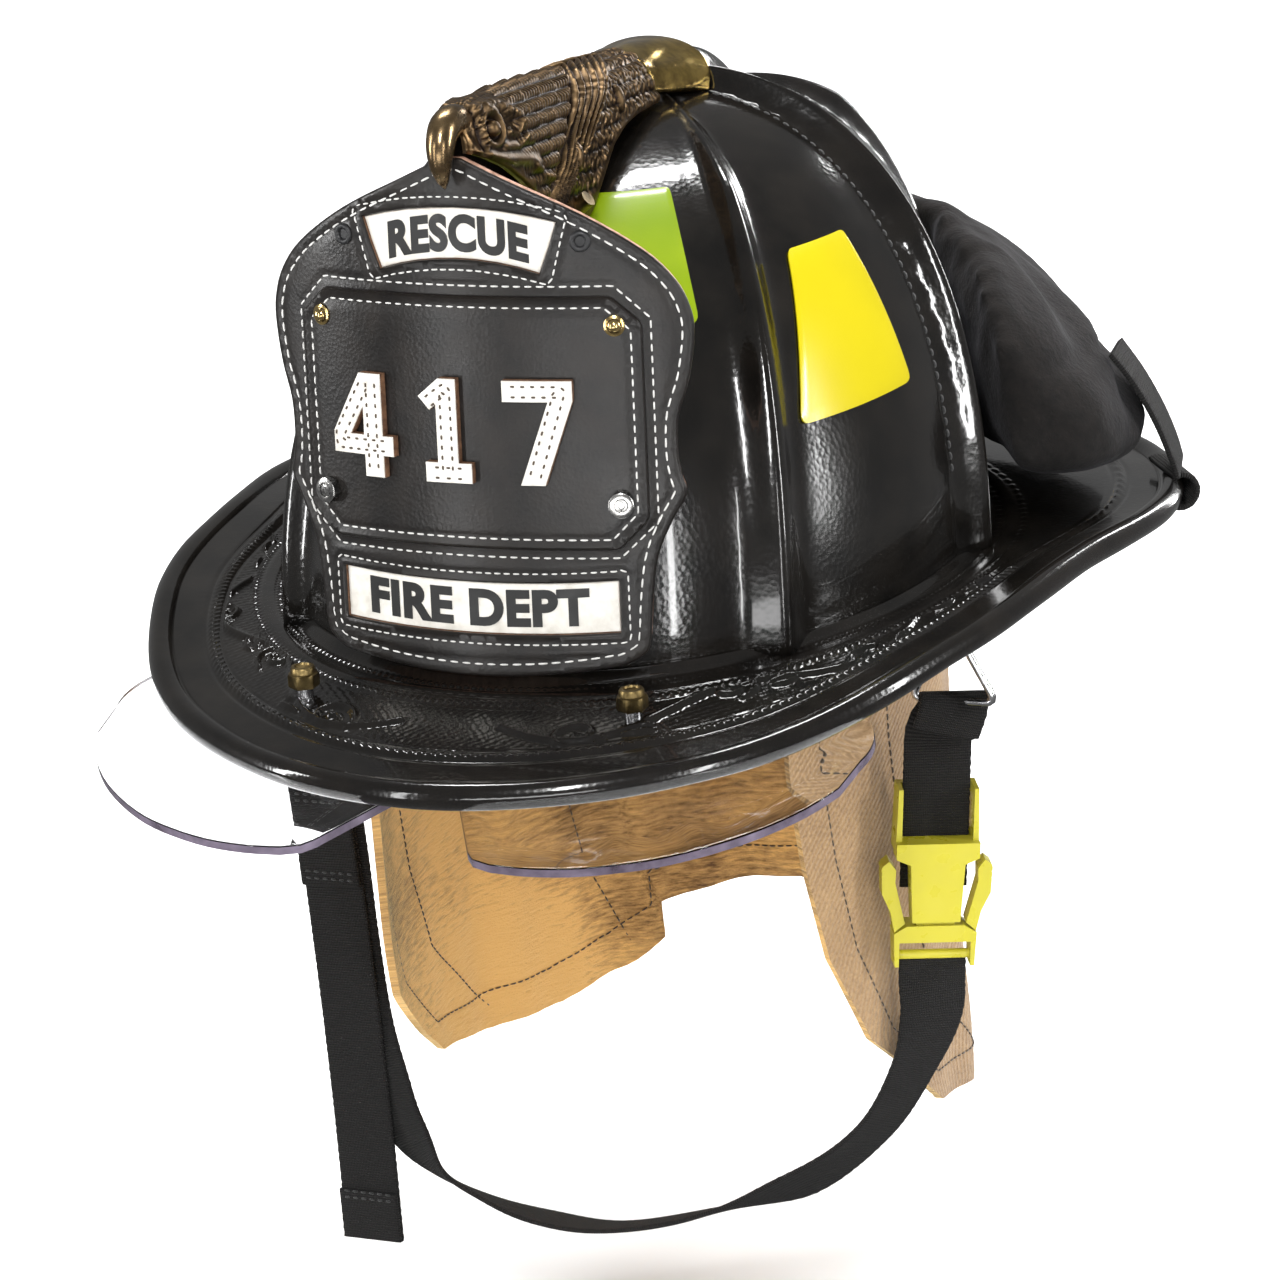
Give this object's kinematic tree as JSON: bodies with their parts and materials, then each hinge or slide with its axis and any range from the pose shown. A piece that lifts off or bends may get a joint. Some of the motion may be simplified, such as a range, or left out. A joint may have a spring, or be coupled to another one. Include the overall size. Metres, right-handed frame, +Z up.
{
  "type": "firefighter helmet",
  "caption": "Black leather firefighter helmet with combed crown, wide rolled brim, eagle crest holding a stitched shield, flip-down eyeshields, tan neck curtain and chin strap.",
  "frame": {"origin": "middle of the headband, level with the seam of crown and brim, where the wearer's head sits", "axes": "+X to the wearer's left, +Y to the back, +Z up; the front shield faces -Y"},
  "size_m": [0.3098, 0.4161, 0.41],
  "materials": {
    "black_leather": "lacquered, high gloss",
    "shield_leather": "smooth, semi gloss",
    "white_leather": "painted, satin",
    "steel": "zinc plated",
    "spring_wire": "bright",
    "bronze": "antiqued cast",
    "polished_bronze": "polished",
    "brass": "polished",
    "aged_brass": "tarnished",
    "nickel": "plated",
    "lime_reflective": "retroreflective film",
    "yellow_reflective": "retroreflective film",
    "foam": "moulded foam",
    "black_plastic": "moulded",
    "pad_leather": "soft",
    "black_webbing": "woven",
    "black_cloth": "woven",
    "tan_cloth": "woven",
    "clear": "clear, hard coated",
    "yellow_plastic": "moulded"
  },
  "bodies": {
    "helmet": {"crown_shell": "black_leather", "brim": "black_leather", "brim_edge_roll": "black_leather", "edge_wire": "steel", "impact_cap": "foam", "crest_eagle": "bronze", "crest_beak": "polished_bronze", "crest_flare": "brass", "crest_screws": "aged_brass", "front_shield": "shield_leather", "number_panel": "shield_leather", "shield_numerals": "white_leather", "top_plate": "white_leather", "bottom_plate": "white_leather", "shield_studs": "brass", "shield_nuts": "nickel", "shield_eyelets": "black_plastic", "markers_lime": "lime_reflective", "markers_yellow": "yellow_reflective", "headband": "black_plastic", "brow_pad": "pad_leather", "crown_straps": "black_webbing", "crown_pad": "pad_leather", "ratchet_housing": "black_plastic", "lens_bracket_left": "steel", "lens_bracket_right": "steel", "lens_pin_left": "steel", "lens_pin_right": "steel", "bracket_bolts": "aged_brass", "bracket_nuts": "aged_brass", "neck_curtain": "tan_cloth", "strap_staples": "steel", "goggle_cover": "black_cloth", "cover_strap": "black_webbing", "cover_tab": "black_cloth", "rear_hanger_plate": "aged_brass", "rear_screw": "aged_brass"},
    "ratchet_knob": {"ratchet_knob": "black_plastic"},
    "band_tail_left": {"band_tail_left": "black_plastic"},
    "band_tail_right": {"band_tail_right": "black_plastic"},
    "eyeshield_left": {"lens_clip_left": "black_plastic", "lens_left": "clear", "lens_rivets_left": "nickel"},
    "eyeshield_right": {"lens_clip_right": "black_plastic", "lens_right": "clear", "lens_rivets_right": "nickel"},
    "chin_strap": {"strap_rings": "spring_wire", "chin_strap": "black_webbing", "strap_hanger": "black_webbing", "strap_tail": "black_webbing", "buckle_plug": "yellow_plastic"},
    "plug_arm_front": {"plug_arm_front": "yellow_plastic"},
    "plug_arm_rear": {"plug_arm_rear": "yellow_plastic"},
    "buckle_socket": {"buckle_socket": "yellow_plastic"},
    "rear_hanger_ring": {"rear_hanger_ring": "brass"}
  },
  "joints": [
    {"name": "ratchet_knob_turn", "type": "hinge", "parent": "helmet", "child": "ratchet_knob", "pos_m": [0, 0.101, 0.002], "axis": [0, 1, 0], "range_deg": [-90, 90]},
    {"name": "band_tail_left_slide", "type": "slide", "parent": "helmet", "child": "band_tail_left", "axis": [1, 0, 0], "range_m": [-0.0064, 0.0064]},
    {"name": "band_tail_right_slide", "type": "slide", "parent": "helmet", "child": "band_tail_right", "axis": [1, 0, 0], "range_m": [-0.0064, 0.0064]},
    {"name": "eyeshield_left_flip", "type": "hinge", "parent": "helmet", "child": "eyeshield_left", "pos_m": [0.056, -0.104, -0.0104], "axis": [1, 0, 0], "range_deg": [0, 78]},
    {"name": "eyeshield_right_flip", "type": "hinge", "parent": "helmet", "child": "eyeshield_right", "pos_m": [-0.056, -0.104, -0.0104], "axis": [1, 0, 0], "range_deg": [0, 78]},
    {"name": "chin_strap_swing", "type": "hinge", "parent": "helmet", "child": "chin_strap", "pos_m": [0, -0.028, -0.01], "axis": [1, 0, 0], "range_deg": [-55, 1]},
    {"name": "plug_arm_front_press", "type": "hinge", "parent": "chin_strap", "child": "plug_arm_front", "pos_m": [0.09012, -0.03432, -0.10588], "axis": [-0.4695, 0.8829, 0], "range_deg": [0, 2.5], "stiffness_Nm_per_rad": 0.05},
    {"name": "plug_arm_rear_press", "type": "hinge", "parent": "chin_strap", "child": "plug_arm_rear", "pos_m": [0.11158, -0.02291, -0.10801], "axis": [-0.4695, 0.8829, 0], "range_deg": [-2.5, 0], "stiffness_Nm_per_rad": 0.05},
    {"name": "buckle_socket_slide", "type": "slide", "parent": "chin_strap", "child": "buckle_socket", "axis": [0.077, 0.0409, 0.9962], "range_m": [0, 0.014]},
    {"name": "rear_hanger_swing", "type": "hinge", "parent": "helmet", "child": "rear_hanger_ring", "pos_m": [0.086, 0.16, -0.018], "axis": [1, 0, 0], "range_deg": [-60, 60]}
  ],
  "couplings": [
    {"joint": "band_tail_left_slide", "follows": "ratchet_knob_turn", "m_per_rad": -0.004},
    {"joint": "band_tail_right_slide", "follows": "ratchet_knob_turn", "m_per_rad": 0.004}
  ]
}
